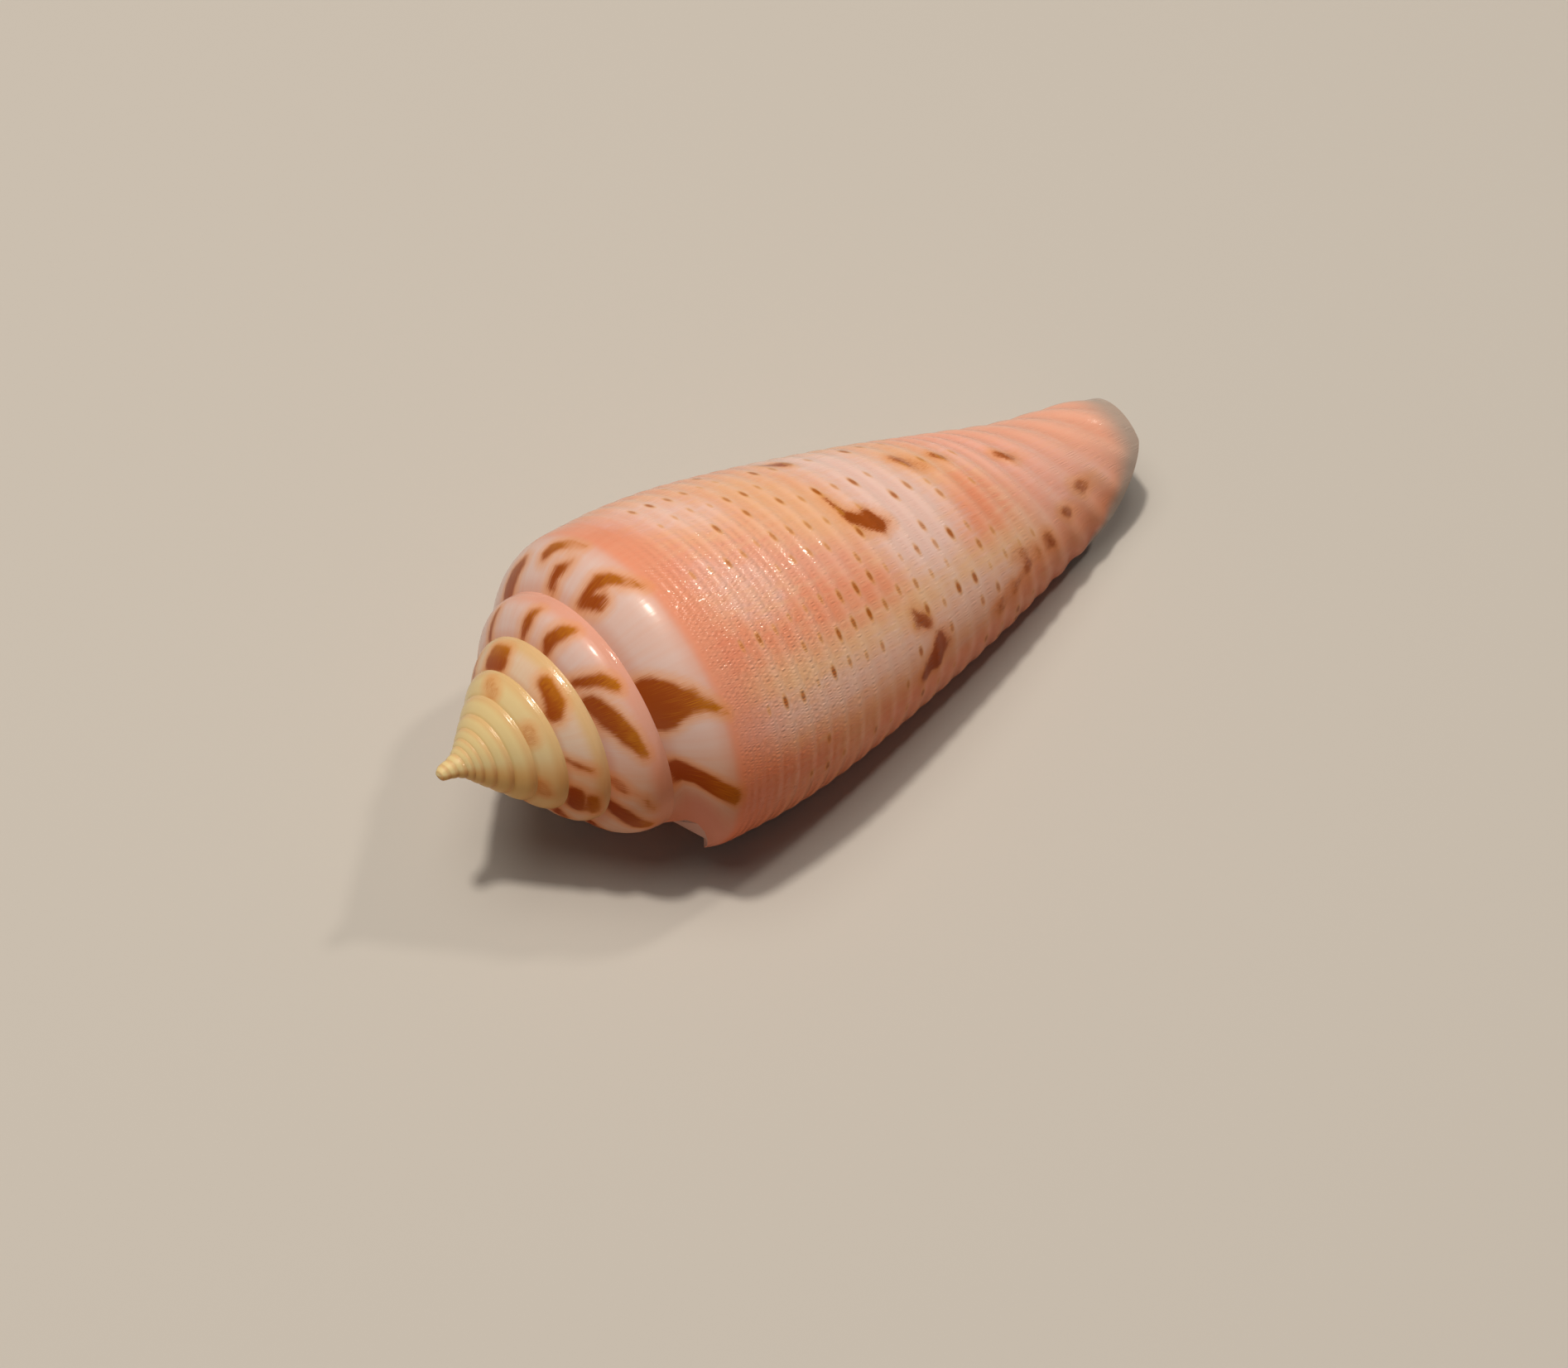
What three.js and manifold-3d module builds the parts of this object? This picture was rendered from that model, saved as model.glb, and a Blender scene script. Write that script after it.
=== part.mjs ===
// A cone shell with a stepped spire, a corded body whorl and a narrow aperture, lying aperture down.
// The shell is one helical tube of shell wall, so it is laid out by the way it grew: a point is given
// by its growth time in turns (0 at the outer lip, negative back to the apex) and by its height along
// the coiling axis. Lengths are millimetres. The axis runs along X, from the apex to the front end.

import * as THREE from 'three';
import { mergeVertices } from 'three/addons/utils/BufferGeometryUtils.js';
import Module from 'manifold-3d';

// Growth of the tube: radius and height are multiplied by these for each turn.
const RADIUS_GROWTH = 1.327;
const HEIGHT_GROWTH = 1.402;

// The suture, the seam between whorls. Its radius at the lip, and its height as a power of the radius.
const SUTURE_RADIUS = 7.04;
const SUTURE_HEIGHT_SCALE = 0.93;
const SUTURE_HEIGHT_POWER = 1.11;
const SUTURE_HEIGHT_START = -0.77;
// Just before the lip the suture turns down, away from the spire.
const SUTURE_DROP = 1.05;
const SUTURE_DROP_TURNS = 0.283;

// The embryonic nipple at the apex, which flares where the spire starts.
const NIPPLE_RADIUS = 0.33;
const NIPPLE_TIP = -1.5;
const NIPPLE_PITCH = 0.38;
const NIPPLE_TURN = -7.9;
const NIPPLE_FLARE_LENGTH = 0.55;

// How strongly the shoulder ramp of a whorl bulges: 1 is a straight ramp. The late whorls are rounder.
const EARLY_BULGE = 1.7;
const LATE_BULGE = 3;
const BULGE_CHANGE_FROM = -2.6;
const BULGE_CHANGE_TO = -0.9;

// Outline of the body whorl at the lip: height along the axis and radius.
const BODY_OUTLINE = [
  [11.4, 9.35], [13.8, 9.38], [17.2, 9.16], [21.5, 8.5], [25.8, 7.65], [31, 6.47], [36.1, 5.09],
  [41.3, 3.8], [46.4, 3.05], [51.6, 1.8], [58.5, 1.22], [70, 1.05], [90, 1],
];

// Spiral cords on the body whorl, placed by their height at the lip.
const FIRST_CORD = 12.55;
const CORD_SPACING = 1.08;
const CORD_SPACING_GAIN = 0.019;
const FRONT_CORD_SPACING = 0.8;
const FRONT_CORDS_FROM = 33;
const FRONT_CORDS_FULL = 38;
// Towards the front end the cords run more steeply across the whorl, most of all near the lip.
const STEEP_CORD_SHARE = 0.105;
const STEEP_CORD_TURNS = 0.4;
const STEEP_CORDS_FROM = 30;
const STEEP_CORDS_FULL = 42;
const LAST_CORD_HEIGHT = 66;
const CORD_RELIEF = 0.085;

// Front end, cut square across the axis, with a rounded corner at the lip.
const FRONT_END = 41.15;
const LIP_CORNER = 4.4;
const LIP_CORNER_TURNS = 0.235;
const LIP_CORNER_POWER = 1.3;
const COLUMELLA_RECESS = 4;
const COLUMELLA_RECESS_FROM = -0.7;
const COLUMELLA_HOLLOW = 0.8;

// Outer lip: thin at its edge, with a notch in the ramp. The notch takes this share of the ramp, and
// its deepest place is drawn towards the suture.
const LIP_EDGE = 0.3;
const WALL = 0.8;
const WALL_FULL_TURNS = 0.07;
const NOTCH_TURNS = 0.062;
const NOTCH_SHARE = 0.6;
const NOTCH_SKEW = 0.45;
const LIP_BULGE_TURNS = 0.008;
const LIP_SHAPE_TURNS = 0.2;
// The aperture's roof rounds over this length from the seam.
const ROOF_LENGTH = 1.2;

// How the shell lies: the lip's angle round the axis, the dip of the front end, and the worn contact.
const LIP_ANGLE = THREE.MathUtils.degToRad(-141.45);
const FRONT_DIP = THREE.MathUtils.degToRad(9.6);
const CONTACT_WEAR = 0.1;

// Facets.
const COLUMNS = 32;
const RAMP_ROWS = 4;
const RAMP_ROW_CROWDING = 1.4;
const INNER_ROWS = 12;
const HOLLOW_COLUMNS = 20;

const SHELL_COLOUR = 0xe2a58c;

const points = [];
const triangles = [];

function smooth(value, from, to) {
  const s = THREE.MathUtils.clamp((value - from) / (to - from), 0, 1);
  return s * s * (3 - 2 * s);
}

// Seam point at a growth time. Past the lip it gives the shoulder, where the next whorl would have sat.
function suture(turn) {
  const heightAt = (radius) =>
    SUTURE_HEIGHT_SCALE * radius ** SUTURE_HEIGHT_POWER + SUTURE_HEIGHT_START;
  const nippleStart = SUTURE_RADIUS * RADIUS_GROWTH ** NIPPLE_TURN;
  if (turn < NIPPLE_TURN) {
    const wound = NIPPLE_TURN - turn;
    const height = Math.max(heightAt(nippleStart) - NIPPLE_PITCH * wound, NIPPLE_TIP);
    const flare = Math.exp((height - heightAt(nippleStart)) / NIPPLE_FLARE_LENGTH);
    const side = NIPPLE_RADIUS + (nippleStart - NIPPLE_RADIUS) * flare;
    const capDepth = Math.max(NIPPLE_TIP + NIPPLE_RADIUS - height, 0) / NIPPLE_RADIUS;
    return { height, radius: side * Math.sqrt(Math.max(1 - capDepth * capDepth, 0)) };
  }
  const radius = SUTURE_RADIUS * RADIUS_GROWTH ** turn;
  const drop = THREE.MathUtils.clamp(1 + turn / SUTURE_DROP_TURNS, 0, 1);
  return { height: heightAt(radius) + SUTURE_DROP * drop * drop, radius };
}

// Radius on the ramp between a whorl's own seam and the next one. down runs from 0 to 1 along it.
function rampRadius(turn, down) {
  const late = smooth(turn, BULGE_CHANGE_FROM, BULGE_CHANGE_TO);
  const bulge = 1 - (1 - down) ** THREE.MathUtils.lerp(EARLY_BULGE, LATE_BULGE, late);
  return THREE.MathUtils.lerp(suture(turn).radius, suture(turn + 1).radius, bulge);
}

// Radius of the outline at the lip, by a smooth curve through its points.
function outlineRadius(height) {
  const last = BODY_OUTLINE.length - 1;
  const x = THREE.MathUtils.clamp(height, BODY_OUTLINE[0][0], BODY_OUTLINE[last][0]);
  let i = 0;
  while (i < last - 1 && x > BODY_OUTLINE[i + 1][0]) i += 1;
  const step = (k) => BODY_OUTLINE[k + 1][0] - BODY_OUTLINE[k][0];
  const rise = (k) => (BODY_OUTLINE[k + 1][1] - BODY_OUTLINE[k][1]) / step(k);
  const slope = (k) => {
    if (k === 0) return 0;
    if (k === last) return rise(last - 1);
    return (rise(k - 1) * step(k) + rise(k) * step(k - 1)) / (step(k - 1) + step(k));
  };
  const h = step(i);
  const s = (x - BODY_OUTLINE[i][0]) / h;
  return BODY_OUTLINE[i][1] * (1 + 2 * s) * (1 - s) ** 2 + slope(i) * h * s * (1 - s) ** 2
    + BODY_OUTLINE[i + 1][1] * s * s * (3 - 2 * s) + slope(i + 1) * h * s * s * (s - 1);
}

function bodyRadius(turn, height) {
  return RADIUS_GROWTH ** turn * outlineRadius(height / HEIGHT_GROWTH ** turn);
}

function frontEnd(turn) {
  const corner = Math.max(1 + turn / LIP_CORNER_TURNS, 0);
  const recess = Math.max(COLUMELLA_RECESS_FROM - turn, 0);
  return FRONT_END - LIP_CORNER * corner ** LIP_CORNER_POWER - COLUMELLA_RECESS * recess ** 1.5;
}

function cordHeight(heightAtLip, turn) {
  const steep = STEEP_CORD_SHARE * smooth(heightAtLip, STEEP_CORDS_FROM, STEEP_CORDS_FULL);
  return heightAtLip * HEIGHT_GROWTH ** turn * (1 - steep * (1 - Math.exp(turn / STEEP_CORD_TURNS)));
}

// Rows of the body whorl: each cord gives a crest row and the groove row after it.
function cordRows() {
  const rows = [];
  let crest = FIRST_CORD;
  while (crest < LAST_CORD_HEIGHT) {
    const spacing = CORD_SPACING + CORD_SPACING_GAIN * (crest - FIRST_CORD)
      + FRONT_CORD_SPACING * smooth(crest, FRONT_CORDS_FROM, FRONT_CORDS_FULL);
    const relief = CORD_RELIEF * spacing * 0.5 * smooth(crest, FIRST_CORD - 2, FIRST_CORD + 1.5);
    rows.push({ heightAtLip: crest, relief });
    rows.push({ heightAtLip: crest + spacing / 2, relief: -relief });
    crest += spacing;
  }
  return rows;
}

// Growth lines bend: back in the notch on the ramp, slightly forward along the lip.
function lipShift(turn, height) {
  const seam = suture(turn).height;
  const shoulder = suture(turn + 1).height;
  const nearLip = smooth(turn, -LIP_SHAPE_TURNS, 0);
  const along = (height - seam) / (shoulder - seam);
  if (along < 1) {
    const across = THREE.MathUtils.clamp(along / NOTCH_SHARE, 0, 1);
    return -NOTCH_TURNS * nearLip * Math.sin(Math.PI * across ** NOTCH_SKEW);
  }
  const down = THREE.MathUtils.clamp((height - shoulder) / (FRONT_END - shoulder), 0, 1);
  return LIP_BULGE_TURNS * nearLip * Math.sin(Math.PI * down);
}

function addPoint(turn, height, radius) {
  const angle = LIP_ANGLE + 2 * Math.PI * (turn + lipShift(turn, height));
  points.push(new THREE.Vector3(height, radius * Math.cos(angle), radius * Math.sin(angle)));
  return points.length - 1;
}

function addTriangle(a, b, c) {
  if (a !== b && b !== c && c !== a) triangles.push([a, b, c]);
}

function addQuad(a, b, c, d) {
  addTriangle(a, b, c);
  addTriangle(a, c, d);
}

// Joins two lines of points that may have different counts, both running down the axis.
function zip(first, second) {
  let i = 0;
  let j = 0;
  while (i < first.length - 1 || j < second.length - 1) {
    const canFirst = i < first.length - 1;
    const canSecond = j < second.length - 1;
    const nextFirst = canFirst ? points[first[i + 1]].x : Infinity;
    const nextSecond = canSecond ? points[second[j + 1]].x : Infinity;
    if (nextFirst <= nextSecond) {
      addTriangle(first[i], second[j], first[i + 1]);
      i += 1;
    } else {
      addTriangle(first[i], second[j], second[j + 1]);
      j += 1;
    }
  }
}

// The seam, from the tip of the nipple to one turn past the lip.
const nippleTurns = (suture(NIPPLE_TURN).height - NIPPLE_TIP) / NIPPLE_PITCH;
const firstSeam = Math.ceil((NIPPLE_TURN - nippleTurns) * COLUMNS);
const apex = addPoint(firstSeam / COLUMNS, NIPPLE_TIP, 0);
const seamPoints = new Map();
for (let column = firstSeam + 1; column <= COLUMNS; column += 1) {
  const { height, radius } = suture(column / COLUMNS);
  const angle = LIP_ANGLE + (2 * Math.PI * column) / COLUMNS;
  points.push(new THREE.Vector3(height, radius * Math.cos(angle), radius * Math.sin(angle)));
  seamPoints.set(column, points.length - 1);
}
const seam = (column) => seamPoints.get(column) ?? apex;

// The ramps of all the whorls, one strip that winds from the apex to the lip.
function rampColumn(column) {
  const turn = column / COLUMNS;
  const upper = suture(turn);
  const lower = suture(turn + 1);
  const line = [seam(column)];
  for (let row = 1; row < RAMP_ROWS; row += 1) {
    const down = (row / RAMP_ROWS) ** RAMP_ROW_CROWDING;
    const height = THREE.MathUtils.lerp(upper.height, lower.height, down);
    line.push(addPoint(turn, height, rampRadius(turn, down)));
  }
  line.push(seam(column + COLUMNS));
  return line;
}

const rampStart = firstSeam - COLUMNS;
const rampLines = new Map([[rampStart, new Array(RAMP_ROWS + 1).fill(apex)]]);
for (let column = rampStart + 1; column <= 0; column += 1) rampLines.set(column, rampColumn(column));
for (let column = rampStart; column < 0; column += 1) {
  const here = rampLines.get(column);
  const next = rampLines.get(column + 1);
  for (let row = 0; row < RAMP_ROWS; row += 1) addQuad(here[row], next[row], next[row + 1], here[row + 1]);
}

// The corded side of the last whorl, from the shoulder to the front end. Rows follow the cords and
// stop at the front end, so a row that has run off it shares that column's last point.
const rows = cordRows();

function bodyColumn(column) {
  const turn = column / COLUMNS;
  const end = frontEnd(turn);
  const endPoint = addPoint(turn, end, bodyRadius(turn, end));
  const line = [seam(column + COLUMNS)];
  for (const { heightAtLip, relief } of rows) {
    const height = cordHeight(heightAtLip, turn);
    const covered = smooth(turn, -1, -0.94);
    const worn = smooth(end - height, 0, 1.5);
    if (end - height < CORD_SPACING / 4) line.push(endPoint);
    else line.push(addPoint(turn, height, bodyRadius(turn, height) + relief * covered * worn));
  }
  line.push(endPoint);
  return line;
}

const bodyLines = [];
for (let column = -COLUMNS; column <= 0; column += 1) bodyLines.push(bodyColumn(column));
for (let k = 0; k < COLUMNS; k += 1) {
  const here = bodyLines[k];
  const next = bodyLines[k + 1];
  for (let row = 0; row < here.length - 1; row += 1) {
    addQuad(here[row], next[row], next[row + 1], here[row + 1]);
  }
}
const bodyEnd = (column) => bodyLines[column + COLUMNS].at(-1);

// The hollow under the last whorl: its floor is the whorl before, its roof the wall's inner face.
const roofHeight = (turn) => cordHeight(FIRST_CORD, turn - 1);

function floorColumn(column) {
  const turn = column / COLUMNS - 1;
  const line = [];
  for (let row = 0; row <= INNER_ROWS; row += 1) {
    const height = THREE.MathUtils.lerp(roofHeight(turn + 1), frontEnd(turn), row / INNER_ROWS);
    line.push(addPoint(turn, height, bodyRadius(turn, height)));
  }
  return line;
}

function wallColumn(column, top) {
  const turn = column / COLUMNS;
  const wall = LIP_EDGE + (WALL - LIP_EDGE) * smooth(-turn, 0, WALL_FULL_TURNS);
  const line = [top];
  for (let row = 1; row <= INNER_ROWS; row += 1) {
    const height = THREE.MathUtils.lerp(roofHeight(turn), frontEnd(turn), row / INNER_ROWS);
    const floor = bodyRadius(turn - 1, height);
    const shoulder = suture(turn + 1);
    const upper = suture(turn);
    const down = THREE.MathUtils.clamp((height - upper.height) / (shoulder.height - upper.height), 0, 1);
    const outer = down < 1 ? rampRadius(turn, down) : bodyRadius(turn, height);
    const across = Math.min((height - roofHeight(turn)) / ROOF_LENGTH, 1);
    const opening = Math.sqrt(1 - (1 - across) ** 2);
    line.push(addPoint(turn, height, floor + (outer - wall - floor) * opening));
  }
  return line;
}

const firstBody = bodyLines[0];
const floorLines = new Map();
const wallLines = new Map([[0, wallColumn(0, firstBody[1])]]);
for (let column = -HOLLOW_COLUMNS; column < 0; column += 1) {
  const floor = floorColumn(column);
  floorLines.set(column, floor);
  wallLines.set(column, wallColumn(column, floor[0]));
}
for (let column = -HOLLOW_COLUMNS; column < 0; column += 1) {
  const wall = wallLines.get(column);
  const nextWall = wallLines.get(column + 1);
  for (let row = 0; row < INNER_ROWS; row += 1) addQuad(wall[row], wall[row + 1], nextWall[row + 1], nextWall[row]);
  addQuad(bodyEnd(column), bodyEnd(column + 1), nextWall.at(-1), wall.at(-1));
  if (column < -1) {
    const floor = floorLines.get(column);
    const nextFloor = floorLines.get(column + 1);
    for (let row = 0; row < INNER_ROWS; row += 1) {
      addQuad(floor[row], nextFloor[row], nextFloor[row + 1], floor[row + 1]);
    }
  }
}
zip(floorLines.get(-1), [...new Set(firstBody.slice(1))]);
zip(wallLines.get(-HOLLOW_COLUMNS), floorLines.get(-HOLLOW_COLUMNS));

// The edge of the lip, from the seam over the shoulder to the front end.
const lipOutside = [...rampLines.get(0), ...new Set(bodyLines.at(-1).slice(1))];
zip(lipOutside, [seam(0), ...wallLines.get(0)]);

// The blunt end of the pillar in the middle of the front end.
const tipCentre = addPoint(-1, FRONT_END - COLUMELLA_HOLLOW - COLUMELLA_RECESS / 2, 0);
const tipLoop = [];
for (let column = -COLUMNS; column < -HOLLOW_COLUMNS; column += 1) tipLoop.push(bodyEnd(column));
const floorEnds = [...floorLines.values()].map((line) => line.at(-1));
tipLoop.push(...floorEnds);
for (let k = 0; k < tipLoop.length; k += 1) {
  addTriangle(tipLoop[k], tipLoop[(k + 1) % tipLoop.length], tipCentre);
}
const beforeHollow = bodyEnd(-HOLLOW_COLUMNS - 1);
const wallTip = wallLines.get(-HOLLOW_COLUMNS).at(-1);
addTriangle(beforeHollow, bodyEnd(-HOLLOW_COLUMNS), wallTip);
addTriangle(beforeHollow, wallTip, floorEnds[0]);

// Lay the shell down with its front end dipped, then wear the contact spots flat.
const upright = new THREE.BufferGeometry().setFromPoints(points);
upright.setIndex(triangles.flat());
upright.rotateY(FRONT_DIP);
upright.computeBoundingBox();
upright.translate(0, 0, -upright.boundingBox.min.z - CONTACT_WEAR);

const wasm = await Module();
wasm.setup();

function toSolid(geometry) {
  const bare = geometry.clone();
  bare.deleteAttribute('normal');
  bare.deleteAttribute('uv');
  const merged = mergeVertices(bare, 1e-5);
  return new wasm.Manifold(new wasm.Mesh({
    numProp: 3,
    vertProperties: new Float32Array(merged.attributes.position.array),
    triVerts: new Uint32Array(merged.index.array),
  }));
}

const surfaceSize = 200;
const surface = new THREE.BoxGeometry(surfaceSize, surfaceSize, surfaceSize);
surface.translate(0, 0, -surfaceSize / 2);
const worn = toSolid(upright).subtract(toSolid(surface)).getMesh();

const shellGeometry = new THREE.BufferGeometry();
shellGeometry.setAttribute('position', new THREE.BufferAttribute(new Float32Array(worn.vertProperties), 3));
shellGeometry.setIndex(new THREE.BufferAttribute(new Uint32Array(worn.triVerts), 1));
shellGeometry.computeBoundingBox();
const middle = shellGeometry.boundingBox.getCenter(new THREE.Vector3());
shellGeometry.translate(-middle.x, -middle.y, 0);

const shellMaterial = new THREE.MeshStandardMaterial({ color: SHELL_COLOUR, roughness: 0.35, metalness: 0 });
const shell = new THREE.Mesh(shellGeometry, shellMaterial);
shell.name = 'shell';

const model = new THREE.Group();
model.add(shell);

export default model;
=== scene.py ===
import math

import bpy
import numpy as np
from mathutils import Matrix, Vector


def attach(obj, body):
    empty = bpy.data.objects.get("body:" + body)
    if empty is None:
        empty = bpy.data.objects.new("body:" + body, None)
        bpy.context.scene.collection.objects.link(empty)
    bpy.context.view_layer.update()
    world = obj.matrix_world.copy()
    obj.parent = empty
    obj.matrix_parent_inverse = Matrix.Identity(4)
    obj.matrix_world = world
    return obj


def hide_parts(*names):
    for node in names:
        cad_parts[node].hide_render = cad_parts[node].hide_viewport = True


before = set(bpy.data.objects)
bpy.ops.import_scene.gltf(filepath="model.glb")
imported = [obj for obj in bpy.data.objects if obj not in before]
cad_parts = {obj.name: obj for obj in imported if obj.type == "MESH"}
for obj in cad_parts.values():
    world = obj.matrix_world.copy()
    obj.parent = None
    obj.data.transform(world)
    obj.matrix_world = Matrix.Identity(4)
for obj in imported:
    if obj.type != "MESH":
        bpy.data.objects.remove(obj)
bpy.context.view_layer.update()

# Shell
# The whole shell is one piece of aragonite that the animal laid down at its lip, turn after turn.
# A spot on it is given by its growth time in turns (0 at the lip, negative back to the apex) and by
# its height along the coiling axis. Lengths are millimetres until the mesh is made.

# Each turn makes the shell wider and taller by these ratios.
RADIUS_GROWTH = 1.327
HEIGHT_GROWTH = 1.402

# The seam between whorls. Over the last quarter turn before the lip it drops towards the front.
SEAM_RADIUS = 7.04
SEAM_HEIGHT_SCALE = 0.93
SEAM_HEIGHT_POWER = 1.11
SEAM_HEIGHT_START = -0.77
SEAM_DROP = 1.05
SEAM_DROP_TURNS = 0.283

# The tiny first whorls stand up as a nipple at the apex.
NIPPLE_RADIUS = 0.33
NIPPLE_TIP = -1.5
NIPPLE_PITCH = 0.38
NIPPLE_TURN = -7.9
NIPPLE_FLARE_LENGTH = 0.55

# How strongly a ramp bulges on early and on late whorls, and the turns over which that changes.
EARLY_BULGE = 1.7
LATE_BULGE = 3.0
BULGE_CHANGE = (-2.6, -0.9)

# Heights and radii of the last whorl, at the lip. An earlier turn has the same outline made smaller,
# so for its sake they go on past the front end.
BODY_OUTLINE = [
    (11.4, 9.35), (13.8, 9.38), (17.2, 9.16), (21.5, 8.5), (25.8, 7.65), (31.0, 6.47), (36.1, 5.09),
    (41.3, 3.8), (46.4, 3.05), (51.6, 1.8), (58.5, 1.22), (70.0, 1.05), (90.0, 1.0),
]


def smooth(value, low, high):
    share = np.clip((value - low) / (high - low), 0.0, 1.0)
    return share * share * (3.0 - 2.0 * share)


def blend(first, second, share):
    return first + (second - first) * share


def seam_height(radius):
    return SEAM_HEIGHT_SCALE * radius ** SEAM_HEIGHT_POWER + SEAM_HEIGHT_START


def seam(turn):
    """The seam between whorls. Past the lip it is the shoulder, where the next whorl would sit."""
    turn = np.asarray(turn, dtype=float)
    radius = SEAM_RADIUS * RADIUS_GROWTH ** turn
    drop = np.clip(1.0 + turn / SEAM_DROP_TURNS, 0.0, 1.0)
    height = seam_height(radius) + SEAM_DROP * drop * drop
    start_radius = SEAM_RADIUS * RADIUS_GROWTH ** NIPPLE_TURN
    start = seam_height(start_radius)
    nipple_height = np.maximum(start - NIPPLE_PITCH * (NIPPLE_TURN - turn), NIPPLE_TIP)
    flare = np.exp(np.minimum(nipple_height - start, 0.0) / NIPPLE_FLARE_LENGTH)
    side = blend(NIPPLE_RADIUS, start_radius, flare)
    into_cap = np.clip((NIPPLE_TIP + NIPPLE_RADIUS - nipple_height) / NIPPLE_RADIUS, 0.0, 1.0)
    nipple = turn < NIPPLE_TURN
    return (np.where(nipple, nipple_height, height),
            np.where(nipple, side * np.sqrt(1.0 - into_cap ** 2), radius))


def ramp(turn, down):
    """Height and radius on the sloping shoulder of a whorl, down from its own seam to the next."""
    power = blend(EARLY_BULGE, LATE_BULGE, smooth(turn, *BULGE_CHANGE))
    upper_height, upper_radius = seam(turn)
    lower_height, lower_radius = seam(turn + 1.0)
    bulge = 1.0 - (1.0 - down) ** power
    return blend(upper_height, lower_height, down), blend(upper_radius, lower_radius, bulge)


outline_height = np.array([place for place, _ in BODY_OUTLINE])
outline_radius = np.array([radius for _, radius in BODY_OUTLINE])
outline_step = np.diff(outline_height)
outline_rise = np.diff(outline_radius) / outline_step
outline_slope = np.zeros(len(outline_height))
outline_slope[1:-1] = ((outline_rise[:-1] * outline_step[1:] + outline_rise[1:] * outline_step[:-1])
                       / (outline_step[1:] + outline_step[:-1]))
outline_slope[-1] = outline_rise[-1]


def body_radius(turn, height):
    at_lip = np.clip(height / HEIGHT_GROWTH ** turn, outline_height[0], outline_height[-1])
    i = np.clip(np.searchsorted(outline_height, at_lip) - 1, 0, len(outline_step) - 1)
    h = outline_step[i]
    s = (at_lip - outline_height[i]) / h
    radius = (outline_radius[i] * (1 + 2 * s) * (1 - s) ** 2 + outline_slope[i] * h * s * (1 - s) ** 2
              + outline_radius[i + 1] * s * s * (3 - 2 * s) + outline_slope[i + 1] * h * s * s * (s - 1))
    return radius * RADIUS_GROWTH ** turn


# Spiral cords run round the body whorl. They are numbered from the shoulder, and the animal's canal
# drags the front ones out into steep ribs.
FIRST_CORD = 12.55
CORD_SPACING = 1.08
CORD_SPACING_GAIN = 0.019
FRONT_CORD_SPACING = 0.8
FRONT_CORDS = (33.0, 38.0)
STEEP_CORD_SHARE = 0.105
STEEP_CORD_TURNS = 0.4
STEEP_CORDS = (30.0, 42.0)
LAST_CORD_HEIGHT = 66.0
CORD_RELIEF = 0.045
FRONT_RELIEF_GAIN = 0.5
GROOVE_SHARPNESS = 2.0

cord_heights = [FIRST_CORD]
while cord_heights[-1] < LAST_CORD_HEIGHT:
    crest = cord_heights[-1]
    cord_heights.append(crest + CORD_SPACING + CORD_SPACING_GAIN * (crest - FIRST_CORD)
                        + FRONT_CORD_SPACING * float(smooth(crest, *FRONT_CORDS)))
cord_heights = np.array(cord_heights)
cord_numbers = np.arange(1, len(cord_heights) + 1)


def cord_height(number, turn):
    """Height of a cord, or of a place between two, at a growth time. Number 0 is the shoulder."""
    at_lip = np.interp(number, cord_numbers, cord_heights)
    steep = STEEP_CORD_SHARE * smooth(at_lip, *STEEP_CORDS)
    height = at_lip * HEIGHT_GROWTH ** turn * (1.0 - steep * (1.0 - np.exp(turn / STEEP_CORD_TURNS)))
    shoulder = seam(turn + 1.0)[0]
    return np.where(number < 1.0, blend(shoulder, height, np.clip(number, 0.0, 1.0)), height)


# The front end is cut square across the axis, with a rounded corner at the lip.
FRONT_END = 41.15
LIP_CORNER = 4.4
LIP_CORNER_TURNS = 0.235
LIP_CORNER_POWER = 1.3
COLUMELLA_RECESS = 4.0
COLUMELLA_RECESS_FROM = -0.7
COLUMELLA_HOLLOW = 0.8
LIP_EDGE = 0.3
WALL = 0.8
WALL_FULL_TURNS = 0.07
NOTCH_TURNS = 0.062
NOTCH_SHARE = 0.6
NOTCH_SKEW = 0.45
LIP_BULGE_TURNS = 0.008
LIP_SHAPE_TURNS = 0.2
ROOF_LENGTH = 1.2


def front_end(turn):
    corner = np.maximum(1.0 + turn / LIP_CORNER_TURNS, 0.0)
    recess = np.maximum(COLUMELLA_RECESS_FROM - turn, 0.0)
    return FRONT_END - LIP_CORNER * corner ** LIP_CORNER_POWER - COLUMELLA_RECESS * recess ** 1.5


def lip_shift(turn, height):
    """Growth lines bend back into the notch beside the seam and slightly forward down the lip."""
    upper = seam(turn)[0]
    shoulder = seam(turn + 1.0)[0]
    near_lip = smooth(turn, -LIP_SHAPE_TURNS, 0.0)
    along = (height - upper) / (shoulder - upper)
    notch = -NOTCH_TURNS * np.sin(np.pi * np.clip(along / NOTCH_SHARE, 0.0, 1.0) ** NOTCH_SKEW)
    down = np.clip((height - shoulder) / (FRONT_END - shoulder), 0.0, 1.0)
    return near_lip * np.where(along < 1.0, notch, LIP_BULGE_TURNS * np.sin(np.pi * down))


# How the shell lies: the angle of the lip round the axis, the dip of the front end, and how deep it is
# worn where it touches the ground. Then how it is divided into faces: COLUMNS is the number to a turn.
LIP_ANGLE = math.radians(-141.45)
FRONT_DIP = math.radians(9.6)
CONTACT_WEAR = 0.1
COLUMNS = 216
RAMP_ROWS = 9
RAMP_ROW_CROWDING = 1.3
ROWS_PER_CORD = 7
INNER_ROWS = 36
HOLLOW_COLUMNS = 135


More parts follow.
